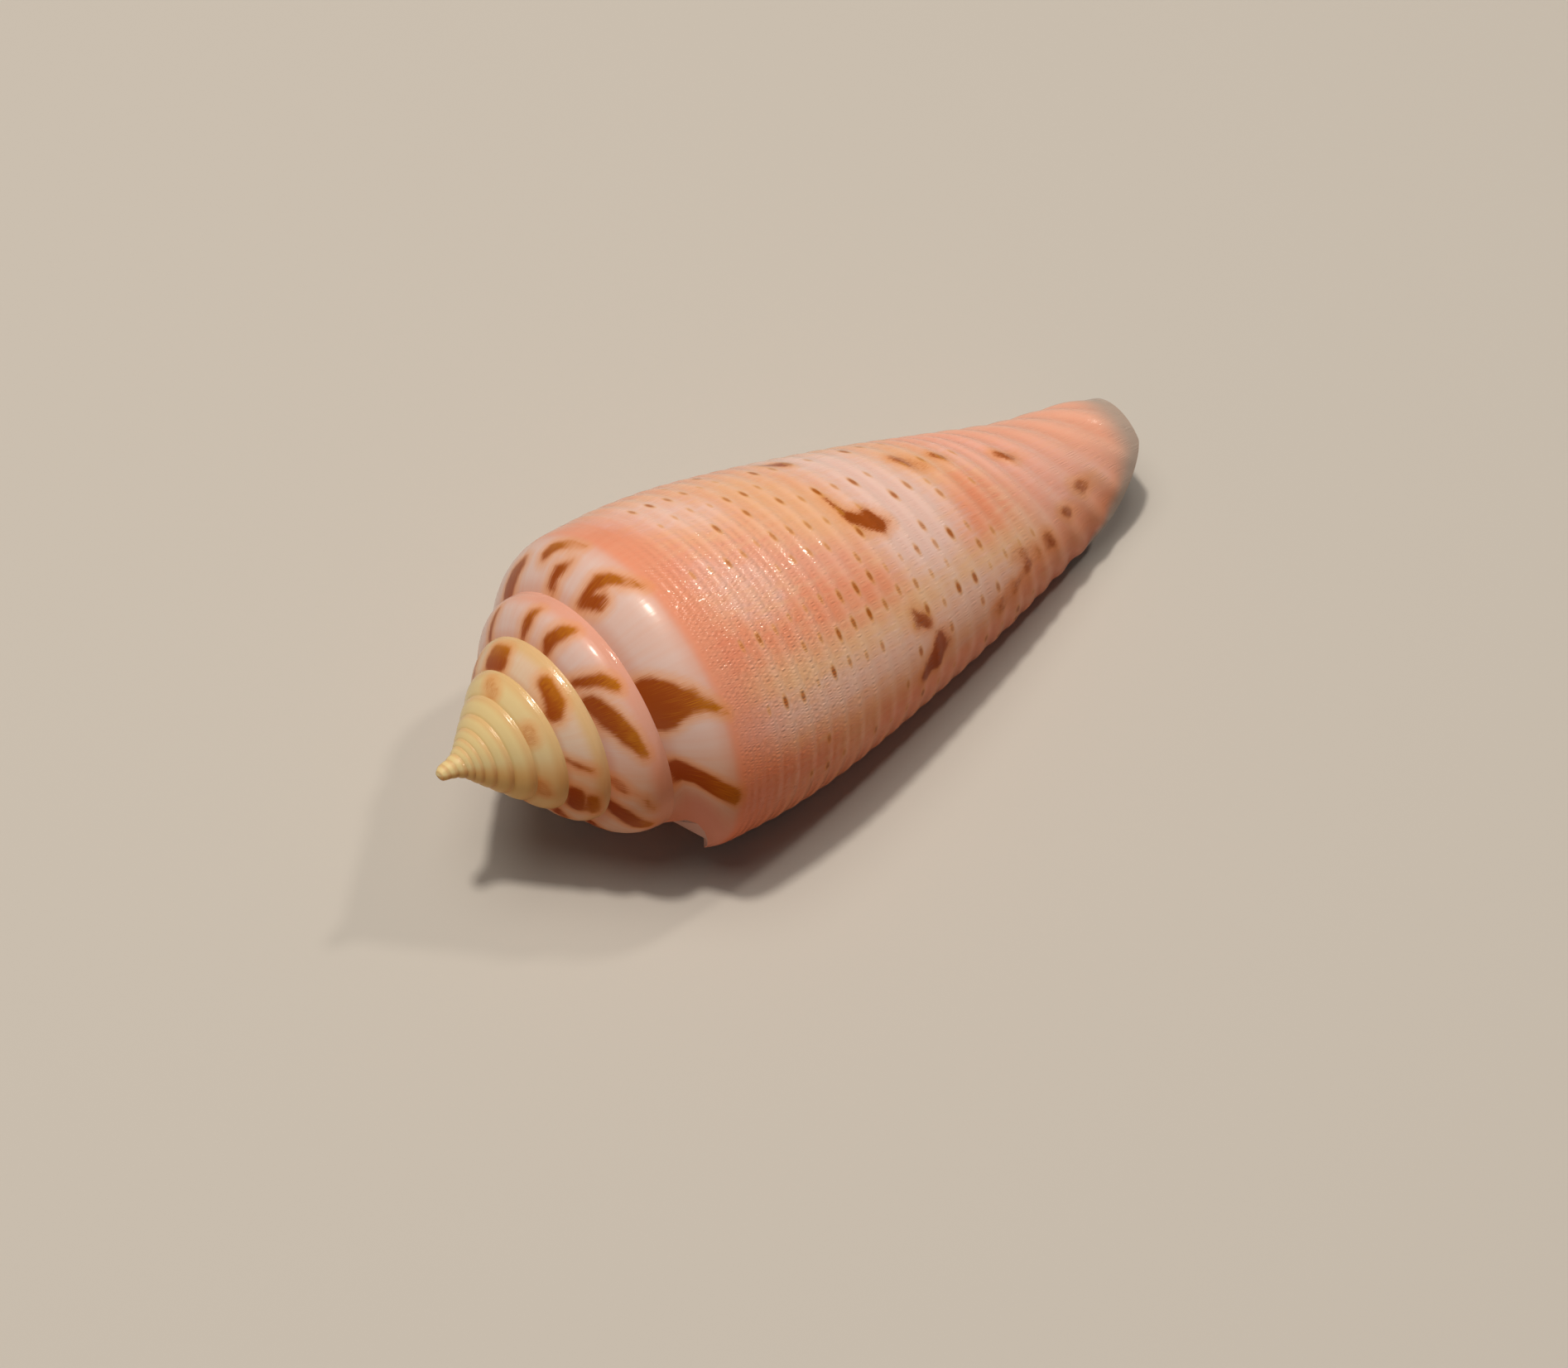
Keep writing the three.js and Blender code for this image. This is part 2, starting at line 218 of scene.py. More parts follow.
def cord_relief(number, turn, height, end):
    """How far the surface stands out at a cord's crest, or in between two cords."""
    at_lip = np.interp(number, cord_numbers, cord_heights)
    spacing = CORD_SPACING + CORD_SPACING_GAIN * (at_lip - FIRST_CORD)
    spacing = spacing + FRONT_CORD_SPACING * smooth(at_lip, *FRONT_CORDS)
    profile = 1.0 - 2.0 * np.abs(np.sin(np.pi * number)) ** GROOVE_SHARPNESS
    full = smooth(at_lip, FIRST_CORD - 2.0, FIRST_CORD + 1.5)
    full = full * (1.0 + FRONT_RELIEF_GAIN * smooth(at_lip, 24.0, 40.0))
    covered = smooth(turn, -1.0, -0.94)
    return CORD_RELIEF * 0.5 * spacing * profile * full * covered * smooth(end - height, 0.0, 1.5)


spots = []
spot_count = 0


def put(turn, height, radius):
    """Adds points, and gives back their numbers in the same arrangement."""
    global spot_count
    turn, height, radius = np.broadcast_arrays(turn, height, radius)
    angle = LIP_ANGLE + 2.0 * math.pi * (turn + lip_shift(turn, height))
    block = np.stack([height, radius * np.cos(angle), radius * np.sin(angle)], axis=-1)
    spots.append(block.reshape(-1, 3))
    first = spot_count
    spot_count += turn.size
    return np.arange(first, spot_count, dtype=float).reshape(turn.shape)


# A patch of the surface holds, for every point, its number, turn, place along the growth lines and
# two coordinates in the bake map. Its first axis runs with growth and its second one down the shell.
# Values with MAP in their names say where it lies in the bake map.
def patch(numbers, turns, alongs, us, vs):
    return np.stack(np.broadcast_arrays(numbers, turns, alongs, us, vs), axis=-1)


made_triangles = []


def cover(grid):
    """Fills a patch with two triangles to each cell."""
    here, there = slice(None, -1), slice(1, None)
    a, b, c, d = grid[here, here], grid[there, here], grid[there, there], grid[here, there]
    for three in ((a, b, c), (a, c, d)):
        made_triangles.append(np.stack(three, axis=2).reshape(-1, 3, 5))


def zip_lines(first, second):
    """Joins two lines that may have different counts, both running down the axis."""
    heights = np.concatenate(spots)[:, 0]
    i = j = 0
    made = []
    while i < len(first) - 1 or j < len(second) - 1:
        next_first = heights[int(first[i + 1, 0])] if i < len(first) - 1 else math.inf
        next_second = heights[int(second[j + 1, 0])] if j < len(second) - 1 else math.inf
        if next_first <= next_second:
            made.append([first[i], second[j], first[i + 1]])
            i += 1
        else:
            made.append([first[i], second[j], second[j + 1]])
            j += 1
    made_triangles.append(np.array(made))


# The ramps of all the whorls are one strip that winds from the apex to the lip.
nipple_turns = (seam_height(SEAM_RADIUS * RADIUS_GROWTH ** NIPPLE_TURN) - NIPPLE_TIP) / NIPPLE_PITCH
first_seam = math.ceil((NIPPLE_TURN - nipple_turns) * COLUMNS)
ramp_start = first_seam - COLUMNS
seam_columns = np.arange(first_seam + 1, COLUMNS + 1)
apex_number = put(np.array(first_seam / COLUMNS), NIPPLE_TIP, 0.0).item()
seam_numbers = put(seam_columns / COLUMNS, *seam(seam_columns / COLUMNS))


def seam_number(columns):
    found = seam_numbers[np.clip(columns - first_seam - 1, 0, None)]
    return np.where(columns <= first_seam, apex_number, found)


ramp_columns = np.arange(ramp_start, 1)
ramp_turns = (ramp_columns / COLUMNS)[:, None]
ramp_downs = ((np.arange(RAMP_ROWS + 1) / RAMP_ROWS) ** RAMP_ROW_CROWDING)[None, :]
ramp_height, ramp_radius = ramp(ramp_turns, ramp_downs)
ramp_middle = put(np.broadcast_to(ramp_turns, ramp_height[:, 1:-1].shape), ramp_height[:, 1:-1],
                  ramp_radius[:, 1:-1])
ramp_numbers = np.concatenate([seam_number(ramp_columns)[:, None], ramp_middle,
                               seam_number(ramp_columns + COLUMNS)[:, None]], axis=1)
ramp_numbers[0] = apex_number
ramp_angle = 2.0 * math.pi * ramp_turns
RAMP_MAP_CENTRE = (0.215, 0.775)
RAMP_MAP_SCALE = 0.0214
ramp_across = RAMP_MAP_CENTRE[0] + RAMP_MAP_SCALE * ramp_radius * np.cos(ramp_angle)
ramp_up = RAMP_MAP_CENTRE[1] + RAMP_MAP_SCALE * ramp_radius * np.sin(ramp_angle)
ramps = patch(ramp_numbers, ramp_turns, ramp_downs - 1.0, ramp_across, ramp_up)
cover(ramps)

# The corded side. Rows follow the cords, and one that has run off the front end stays on its edge.
body_turns = (np.arange(-COLUMNS, 1) / COLUMNS)[:, None]
row_numbers = (np.arange(len(cord_heights) * ROWS_PER_CORD + 1) / ROWS_PER_CORD)[None, :]
body_height = cord_height(row_numbers, body_turns)
body_end = front_end(body_turns)
off_end = body_end - body_height < CORD_SPACING / ROWS_PER_CORD / 2.0
off_end[:, -1] = True
end_cords = np.array([np.interp(end, row, row_numbers[0])
                      for end, row in zip(body_end[:, 0], body_height)])
body_alongs = np.where(off_end, end_cords[:, None], np.broadcast_to(row_numbers, body_height.shape))
body_height = np.where(off_end, body_end, body_height)
body_bare = body_radius(body_turns, body_height)
body_skin = body_bare + cord_relief(body_alongs, body_turns, body_height, body_end)
body_numbers = put(np.broadcast_to(body_turns, body_height.shape), body_height, body_skin)
body_numbers[:, 0] = seam_number(np.arange(0, COLUMNS + 1))
body_numbers = np.where(off_end, body_numbers[:, -1:], body_numbers)
BODY_MAP_EDGE = 0.01
BODY_MAP_WIDTH = 0.98
BODY_MAP_TOP = 6.0
BODY_MAP_SCALE = 0.0146
body_across = BODY_MAP_EDGE + BODY_MAP_WIDTH * (body_turns + 1.0)
body_up = BODY_MAP_EDGE + BODY_MAP_SCALE * (body_height - BODY_MAP_TOP)
body = patch(body_numbers, body_turns, body_alongs, body_across, body_up)
cover(body)

# The hollow under the last whorl. Its floor is the whorl before, and its roof the wall's inner face.
# These faces get places along the growth lines that are past every cord, which marks them as inside.
INSIDE = 100.0
INNER_MAP_WIDTH = 0.25
INNER_MAP_LENGTH = 0.36
INNER_MAP_START = 0.56
FLOOR_MAP_EDGE = 0.73
WALL_MAP_EDGE = 0.46
inner_rows = (np.arange(INNER_ROWS + 1) / INNER_ROWS)[None, :]
inner_turns = (np.arange(-HOLLOW_COLUMNS, 1) / COLUMNS)[:, None]
roof_height = cord_height(np.array(1.0), inner_turns - 1.0)

floor_height = blend(roof_height, front_end(inner_turns - 1.0), inner_rows)
floor_numbers = put(np.broadcast_to(inner_turns - 1.0, floor_height.shape), floor_height,
                    body_radius(inner_turns - 1.0, floor_height))
inner_across = (inner_turns * COLUMNS / HOLLOW_COLUMNS + 1.0) * INNER_MAP_WIDTH
inner_up = INNER_MAP_START + INNER_MAP_LENGTH * inner_rows
floor = patch(floor_numbers, inner_turns, INSIDE + inner_rows, FLOOR_MAP_EDGE + inner_across, inner_up)
cover(floor[:-1])
first_line = body[0, ROWS_PER_CORD:]
zip_lines(floor[-2], first_line[:np.argmax(off_end[0, ROWS_PER_CORD:]) + 1])

wall = LIP_EDGE + (WALL - LIP_EDGE) * smooth(-inner_turns, 0.0, WALL_FULL_TURNS)
wall_height = blend(roof_height, front_end(inner_turns), inner_rows)
wall_floor = body_radius(inner_turns - 1.0, wall_height)
ramp_top = seam(inner_turns)[0]
ramp_foot = seam(inner_turns + 1.0)[0]
down = np.clip((wall_height - ramp_top) / (ramp_foot - ramp_top), 0.0, 1.0)
wall_outer = np.where(down < 1.0, ramp(inner_turns, down)[1], body_radius(inner_turns, wall_height))
opening = np.sqrt(1.0 - (1.0 - np.clip((wall_height - roof_height) / ROOF_LENGTH, 0.0, 1.0)) ** 2)
wall_numbers = put(np.broadcast_to(inner_turns, wall_height.shape), wall_height,
                   wall_floor + (wall_outer - wall - wall_floor) * opening)
wall_numbers[:-1, 0] = floor_numbers[:-1, 0]
wall_numbers[-1, 0] = body_numbers[0, ROWS_PER_CORD]
inner_wall = patch(wall_numbers, inner_turns, INSIDE + inner_rows, WALL_MAP_EDGE + inner_across,
                   inner_up)
cover(inner_wall[::-1])

# The deep end of the hollow, the edge of the front end and the edge of the lip.
zip_lines(inner_wall[0], floor[0])
rim_outer = body[-HOLLOW_COLUMNS - 1:, -1].copy()
rim_inner = inner_wall[:, -1].copy()
for line, height_in_map in ((rim_outer, 0.965), (rim_inner, 0.98)):
    line[:, 2] = INSIDE
    line[:, 3] = WALL_MAP_EDGE + 2.0 * inner_across[:, 0]
    line[:, 4] = height_in_map
cover(np.stack([rim_outer, rim_inner], axis=1))

lip_outer = np.concatenate([ramps[-1], body[-1, 1:np.argmax(off_end[-1]) + 1]])
lip_inner = np.concatenate([body[0, :ROWS_PER_CORD], inner_wall[-1]])
for line, height_in_map in ((lip_outer, 0.94), (lip_inner, 0.952)):
    line[:, 2] = INSIDE
    line[:, 3] = np.linspace(WALL_MAP_EDGE, WALL_MAP_EDGE + 2.0 * INNER_MAP_WIDTH, len(line))
    line[:, 4] = height_in_map
zip_lines(lip_outer, lip_inner)

# The blunt end of the pillar in the middle of the front end.
pillar = body[:-HOLLOW_COLUMNS - 1, -1]
tip_ring = np.concatenate([pillar, floor[:-1, -1], pillar[:1]])
tip_angle = np.linspace(0.0, 2.0 * math.pi, len(tip_ring))
TIP_MAP_CENTRE = (0.035, 0.58)
TIP_MAP_RADIUS = 0.02
tip_ring[:, 2] = INSIDE
tip_ring[:, 3] = TIP_MAP_CENTRE[0] + TIP_MAP_RADIUS * np.cos(tip_angle)
tip_ring[:, 4] = TIP_MAP_CENTRE[1] + TIP_MAP_RADIUS * np.sin(tip_angle)
tip_number = put(np.array(-1.0), FRONT_END - COLUMELLA_HOLLOW - COLUMELLA_RECESS / 2.0, 0.0).item()
tip_centre = np.broadcast_to([tip_number, -1.0, INSIDE, *TIP_MAP_CENTRE], tip_ring[1:].shape)
made_triangles.append(np.stack([tip_ring[:-1], tip_ring[1:], tip_centre], axis=1))
before_hollow = pillar[-1]
wall_tip = inner_wall[0, -1]
made_triangles.append(np.array([[before_hollow, rim_outer[0], wall_tip],
                                [before_hollow, wall_tip, floor[0, -1]]]))

triangles = np.concatenate(made_triangles)
corner = triangles[..., 0].astype(int)
real = (corner[:, 0] != corner[:, 1]) & (corner[:, 1] != corner[:, 2]) & (corner[:, 2] != corner[:, 0])
triangles = triangles[real]
used, corner = np.unique(corner[real], return_inverse=True)
corner = corner.reshape(-1, 3)
place = np.concatenate(spots)[used]

# The shell lies on its lip and on one spot of the body whorl, and both are worn flat there.
dip = np.array([[math.cos(FRONT_DIP), 0.0, math.sin(FRONT_DIP)], [0.0, 1.0, 0.0],
                [-math.sin(FRONT_DIP), 0.0, math.cos(FRONT_DIP)]])
place = place @ dip.T
place[:, 2] = np.maximum(place[:, 2] - place[:, 2].min() - CONTACT_WEAR, 0.0)
middle = (place.min(axis=0) + place.max(axis=0)) / 2.0
place[:, :2] -= middle[:2]

# The mesh is made in metres. Edges that turn by more than SHARP_EDGE stay hard.
MM = 1000.0
SHARP_EDGE = math.radians(38.0)
shell_mesh = bpy.data.meshes.new("cone_shell")
shell_mesh.from_pydata((place / MM).tolist(), [], corner.tolist())
shell_mesh.shade_smooth()
shell_mesh.set_sharp_from_angle(angle=SHARP_EDGE)
turns = triangles[..., 1].reshape(-1)
alongs = triangles[..., 2].reshape(-1)
outside = alongs < INSIDE - 1.0

bake_map = shell_mesh.uv_layers.new(name="OFBake")
bake_map.data.foreach_set("uv", triangles[..., 3:5].reshape(-1))


def keep(name, values):
    """Keeps one number per corner of the mesh for the material to read."""
    layer = shell_mesh.attributes.new(name, "FLOAT", "CORNER")
    layer.data.foreach_set("value", np.asarray(values, dtype=np.float32).reshape(-1))


# Where the colours lie. The mantle laid pigment down at the lip, so a mark is placed by turn and by
# cord number, or on the ramp by a share from -1 at the whorl's own seam to 0 at the shoulder.
corner_seam = seam(turns)
corner_shoulder = seam(turns + 1.0)
height_on_ramp = blend(corner_shoulder[0], corner_seam[0], np.clip(-alongs, 0.0, 1.0))
height_on_body = cord_height(np.clip(alongs, 0.0, len(cord_heights)), turns)
corner_height = np.where(alongs < 0.0, height_on_ramp, height_on_body)
corner_radius = np.where(alongs < 0.0, ramp(turns, np.clip(1.0 + alongs, 0.0, 1.0))[1],
                         body_radius(turns, corner_height))
millimetres_per_turn = 2.0 * math.pi * corner_radius
ramp_width = np.hypot(corner_shoulder[0] - corner_seam[0], corner_shoulder[1] - corner_seam[1])
RAMP_BULGE_LENGTH = 1.15
MIDDLE_CORD_PITCH = CORD_SPACING * 1.12
millimetres_along = np.where(alongs < 0.0, ramp_width * RAMP_BULGE_LENGTH,
                             MIDDLE_CORD_PITCH * HEIGHT_GROWTH ** turns)
MARK_REACH = 0.35


def strokes(marks, melt):
    """How deep inside the marks a place lies, in millimetres. A mark is its greatest depth and the
    points of one brush stroke, each a turn, an along and a half width. Close marks melt together.
    A mark on a ramp doesn't run on over the shoulder onto the cords."""
    total = np.zeros(len(turns))
    for greatest, *points in marks:
        (start_turn, start_along, start_half), *others = points
        for end_turn, end_along, end_half in others or points:
            same_part = (alongs < 0.0) | (start_along >= -0.2)
            near = (np.abs(turns - start_turn) < MARK_REACH) & outside & same_part
            to_x, to_y = millimetres_per_turn[near], millimetres_along[near]
            x, y = (turns[near] - start_turn) * to_x, (alongs[near] - start_along) * to_y
            run_x, run_y = (end_turn - start_turn) * to_x, (end_along - start_along) * to_y
            length = np.maximum(run_x ** 2 + run_y ** 2, 1e-9)
            share = np.clip((x * run_x + y * run_y) / length, 0.0, 1.0)
            away = np.hypot(x - share * run_x, y - share * run_y)
            inner = np.minimum(blend(start_half, end_half, share) - away, greatest)
            total[near] += np.exp(np.maximum(inner / melt, -20.0))
            start_turn, start_along, start_half = end_turn, end_along, end_half
    return melt * np.log(np.maximum(total, 1e-9))


# The greatest depths of a full brown mark, of a thin one and of a mere tint.
DARK = 0.40
FAINT = 0.06
WASH = -0.03
BROWN_ON_LAST_RAMP = [
    (DARK, (-0.535, -0.96, 0.65), (-0.524, -0.84, 0.60), (-0.508, -0.72, 0.40)),
    (DARK, (-0.468, -0.66, 0.42), (-0.464, -0.56, 0.42), (-0.450, -0.48, 0.32), (-0.427, -0.44, 0.20)),
    (DARK, (-0.427, -0.70, 0.24), (-0.437, -0.80, 0.38), (-0.438, -0.90, 0.30), (-0.429, -0.97, 0.14)),
    (DARK, (-0.347, -0.36, 0.16), (-0.363, -0.49, 0.28), (-0.376, -0.58, 0.36), (-0.384, -0.69, 0.42)),
    (DARK, (-0.384, -0.74, 0.36), (-0.383, -0.90, 0.36)),
    (DARK, (-0.383, -0.90, 0.34), (-0.366, -0.82, 0.46)),
    (DARK, (-0.256, -0.93, 0.80), (-0.226, -0.93, 0.80)),
    (DARK, (-0.249, -0.78, 0.62), (-0.231, -0.78, 0.62)),
    (DARK, (-0.240, -0.62, 0.52), (-0.230, -0.60, 0.50)),
    (DARK, (-0.229, -0.50, 0.42), (-0.214, -0.31, 0.16)),
    (DARK, (-0.160, -0.95, 0.50), (-0.141, -0.84, 0.85), (-0.128, -0.66, 0.95), (-0.126, -0.46, 0.75)),
]
BROWN_ON_EARLIER_RAMPS = [
    (DARK, (-1.518, -0.55, 0.22), (-1.538, -0.95, 0.26)),
    (DARK, (-1.424, -0.45, 0.14), (-1.432, -0.61, 0.28), (-1.434, -0.79, 0.34), (-1.434, -0.96, 0.22)),
    (DARK, (-1.364, -0.37, 0.24), (-1.373, -0.57, 0.42), (-1.381, -0.83, 0.42), (-1.377, -0.96, 0.26)),
    (DARK, (-1.309, -0.96, 0.26), (-1.300, -0.80, 0.30), (-1.292, -0.58, 0.38), (-1.279, -0.42, 0.40)),
    (DARK, (-1.272, -0.92, 0.46), (-1.240, -0.76, 0.58), (-1.214, -0.60, 0.56), (-1.190, -0.46, 0.34)),
    (FAINT, (-1.142, -0.96, 0.24), (-1.130, -0.87, 0.28)),
    (FAINT, (-1.123, -0.60, 0.12), (-1.100, -0.45, 0.16)),
    (DARK, (-1.085, -0.98, 0.45), (-1.074, -0.83, 0.62), (-1.062, -0.64, 0.62), (-1.057, -0.46, 0.50)),
    (DARK, (-2.486, -0.80, 0.52), (-2.450, -0.80, 0.52)),
    (DARK, (-2.484, -0.52, 0.40), (-2.450, -0.54, 0.40)),
    (DARK, (-2.336, -0.56, 0.48), (-2.300, -0.66, 0.56), (-2.284, -0.80, 0.50)),
    (DARK, (-2.188, -0.96, 0.14), (-2.176, -0.78, 0.18), (-2.166, -0.49, 0.16)),
    (DARK, (-2.108, -0.86, 0.46), (-2.066, -0.80, 0.52)),
    (DARK, (-2.100, -0.50, 0.42), (-2.070, -0.40, 0.46)),
    (WASH, (-3.450, -0.57, 0.24), (-3.425, -0.80, 0.28)),
    (WASH, (-3.276, -0.79, 0.22), (-3.255, -0.86, 0.24)),
    (WASH, (-3.114, -0.92, 0.22), (-3.090, -0.80, 0.26)),
]
BROWN_ON_BODY = [
    (DARK, (-0.357, 9.95, 0.06), (-0.340, 10.00, 0.09), (-0.328, 10.08, 0.24)),
    (DARK, (-0.325, 10.30, 0.46), (-0.312, 10.75, 0.50), (-0.305, 11.20, 0.46)),
    (DARK, (-0.321, 11.10, 0.34), (-0.306, 11.45, 0.30)),
    (DARK, (-0.208, 10.30, 0.16), (-0.194, 10.50, 0.42), (-0.186, 10.72, 0.32)),
    (DARK, (-0.163, 11.30, 0.40), (-0.150, 11.20, 0.62), (-0.139, 10.70, 0.62), (-0.130, 10.20, 0.40)),
    (DARK, (-0.450, 10.40, 0.32), (-0.437, 10.80, 0.34)),
    (FAINT, (-0.381, 15.19, 0.24), (-0.370, 15.33, 0.26)),
    (FAINT, (-0.373, 16.81, 0.20), (-0.364, 17.10, 0.20)),
    (WASH, (-0.384, 15.10, 0.32), (-0.360, 15.50, 0.30)),
    (FAINT, (-0.337, 19.85, 0.20), (-0.325, 20.20, 0.24)),
    (0.16, (-0.217, 21.33, 0.32), (-0.209, 21.33, 0.30)),
    (0.12, (-0.193, 20.15, 0.26), (-0.186, 20.20, 0.22)),
    (0.16, (-0.177, 18.60, 0.30), (-0.160, 18.60, 0.34)),
    (WASH, (-0.186, 16.60, 0.30), (-0.168, 17.50, 0.42)),
    (FAINT, (-0.162, 17.05, 0.24), (-0.150, 16.35, 0.24)),
    (WASH, (-0.147, 15.80, 0.36), (-0.136, 14.90, 0.36)),
]

# On the side and the underside that can't be seen, the same marks go on, one group after another:
# three on a ramp, and on the body a hooked one in the middle and a faint one near the front.
unseen = np.random.default_rng(7)
brown_unseen = []
for group_turn in (-0.63, -0.72, -0.80, -0.89, -0.97, -1.62, -1.71, -1.80, -1.90, -1.98,
                   -2.56, -2.68, -2.81, -2.93):
    reach = RADIUS_GROWTH ** math.ceil(group_turn)
    start = group_turn + unseen.uniform(-0.012, 0.012)
    wide = unseen.uniform(0.01, 0.028)
    brown_unseen.append((DARK, (start - wide, -0.94, 0.36 * reach), (start, -0.86, 0.36 * reach)))
    brown_unseen.append((DARK, (start - wide * 0.6, -0.74, 0.32 * reach),
                         (start + 0.004, -0.66, 0.32 * reach)))
    brown_unseen.append((DARK, (start, -0.64, 0.26 * reach), (start + 0.02, -0.42, 0.14 * reach)))
for group_turn in (-0.035, -0.55, -0.66, -0.79, -0.91):
    cord = unseen.uniform(9.9, 10.6)
    brown_unseen.append((DARK, (group_turn - 0.03, cord, 0.06), (group_turn, cord + 0.1, 0.2)))
    brown_unseen.append((DARK, (group_turn, cord + 0.1, 0.26), (group_turn + 0.012, cord + 1.0, 0.2)))
    low = unseen.uniform(15.0, 19.0)
    brown_unseen.append((FAINT, (group_turn - 0.02, low, 0.22), (group_turn - 0.012, low, 0.2)))

# Clouds of colour on the body, as broad strokes; one faint white one is a painted highlight.
# The depth given for a faint one is small or negative.
CLOUD = 9.0
WHITE_CLOUDS_AND_HIGHLIGHT = [
    (CLOUD, (-0.460, 11.2, 1.2), (-0.415, 12.4, 1.5), (-0.360, 12.7, 1.7), (-0.310, 12.9, 2.1),
     (-0.280, 12.6, 2.3)),
    (CLOUD, (-0.183, -0.1, 0.5), (-0.178, 1.3, 0.7), (-0.176, 5.7, 0.8), (-0.172, 8.3, 0.9)),
    (CLOUD, (-0.172, 8.3, 0.9), (-0.163, 11.4, 1.1), (-0.166, 13.7, 1.2), (-0.170, 16.6, 0.6)),
    (0.1, (-0.445, 0.6, 0.9), (-0.420, 2.4, 1.1), (-0.395, 4.2, 0.8)),
    (-0.2, (-0.300, 20.6, 0.9), (-0.250, 21.2, 0.9)),
    # The faint white stroke from turn -0.318 to -0.296 is a painted highlight.
    (-0.4, (-0.318, 1.6, 0.8), (-0.296, 3.2, 0.9)), (-0.3, (-0.368, 18.4, 0.9), (-0.345, 19.4, 0.9)),
    (CLOUD, (-0.580, 12.4, 1.6), (-0.540, 12.8, 1.4)), (CLOUD, (-0.720, 13.2, 1.6), (-0.660, 12.6, 2.0)),
    (CLOUD, (-0.850, 12.0, 2.0), (-0.820, 12.6, 1.6)), (CLOUD, (-0.960, 12.8, 1.8), (-0.930, 12.4, 1.5)),
    (CLOUD, (-0.640, 2.0, 0.7), (-0.640, 6.0, 1.0)), (CLOUD, (-0.870, 1.5, 0.7), (-0.860, 7.0, 0.9)),
    (CLOUD, (-0.050, 11.0, 1.2), (-0.045, 14.5, 1.0)),
]
YELLOW_CLOUDS = [
    (CLOUD, (-0.222, 0.6, 0.5), (-0.212, 3.0, 0.7), (-0.208, 6.2, 0.8), (-0.209, 8.8, 0.9),
     (-0.216, 11.2, 1.0)),
    (CLOUD, (-0.216, 11.2, 1.0), (-0.215, 13.8, 0.9), (-0.207, 16.1, 0.8), (-0.200, 18.5, 0.6)),
    (0.0, (-0.410, 7.2, 0.9), (-0.345, 8.8, 1.3)), (-0.1, (-0.382, 15.2, 0.9), (-0.340, 15.6, 0.9)),
    (CLOUD, (-0.610, 6.0, 0.8), (-0.600, 10.0, 1.0)), (CLOUD, (-0.780, 7.0, 0.9), (-0.770, 10.5, 1.0)),
    (CLOUD, (-0.080, 9.0, 0.6), (-0.075, 14.0, 0.6)),
]
SALMON_CLOUDS = [
    (CLOUD, (-0.262, 0.4, 0.8), (-0.256, 3.0, 0.9), (-0.256, 6.0, 1.0), (-0.248, 9.6, 0.9)),
    (CLOUD, (-0.308, 16.6, 0.9), (-0.270, 16.0, 1.3), (-0.252, 15.0, 0.7)),
    (0.3, (-0.135, 1.0, 0.7), (-0.120, 4.0, 0.8)),
    (CLOUD, (-0.150, 14.0, 0.6), (-0.136, 17.0, 0.9)), (CLOUD, (-0.110, 8.0, 1.0), (-0.100, 14.0, 1.2)),
    (CLOUD, (-0.500, 3.0, 0.9), (-0.490, 9.0, 1.1)), (CLOUD, (-0.720, 3.0, 0.9), (-0.710, 9.0, 1.1)),
    (CLOUD, (-0.560, 16.4, 1.4), (-0.520, 17.4, 1.0)), (CLOUD, (-0.950, 3.0, 0.9), (-0.940, 10.0, 1.1)),
]
PINK_CLOUDS = [
    (CLOUD, (-0.345, 1.0, 0.9), (-0.318, 4.0, 1.3), (-0.290, 8.0, 1.1)),
    (CLOUD, (-0.110, 0.0, 1.5), (-0.125, 3.0, 1.0)),
    (CLOUD, (-0.330, 20.0, 1.2), (-0.240, 20.5, 1.6)), (CLOUD, (-0.450, 18.0, 1.6), (-0.400, 19.0, 1.6)),
    (CLOUD, (-0.570, 2.0, 0.9), (-0.560, 5.0, 0.9)), (CLOUD, (-0.800, 2.0, 0.9), (-0.790, 5.0, 0.9)),
]
MARK_MELT = 0.05
CLOUD_MELT = 0.4
brown_marks = BROWN_ON_LAST_RAMP + BROWN_ON_EARLIER_RAMPS + BROWN_ON_BODY + brown_unseen
keep("brown mark", strokes(brown_marks, MARK_MELT))
keep("white cloud and highlight", strokes(WHITE_CLOUDS_AND_HIGHLIGHT, CLOUD_MELT))
keep("yellow cloud", strokes(YELLOW_CLOUDS, CLOUD_MELT))
keep("salmon cloud", strokes(SALMON_CLOUDS, CLOUD_MELT))
keep("pink cloud", strokes(PINK_CLOUDS, CLOUD_MELT))
keep("front edge", np.where(outside & (alongs > 0.0), front_end(turns) - corner_height, FRONT_END))
keep("inside", ~outside)

# Small brown flecks sit on the cords in rows along the growth lines. A row is its turn, its first and
# last cord, and the share of its cords that have a fleck. The one at the lip is empty: it ends them.
FLECK_ROWS = [
    (-0.402, 1.4, 8.4, 0.9), (-0.371, 3.4, 18.4, 0.9), (-0.333, 0.4, 15.6, 0.85), (-0.307, 4.4, 17.6, 0.45),
    (-0.283, 6.4, 16.4, 0.3), (-0.263, 0.4, 16.4, 0.95), (-0.233, 3.4, 16.4, 0.95), (-0.197, 0.4, 18.4, 0.95),
    (-0.165, 8.4, 19.4, 0.5), (-0.140, 3.4, 9.4, 0.4), (-0.105, 1.4, 17.4, 0.8), (-0.070, 4.4, 16.4, 0.6),
    (-0.035, 1.4, 17.4, 0.9), (0.0, 0.0, 0.0, 0.0),
]
UNSEEN_ROWS_FROM = -0.433
UNSEEN_ROW_TURNS = 0.0325
UNSEEN_ROWS = 17
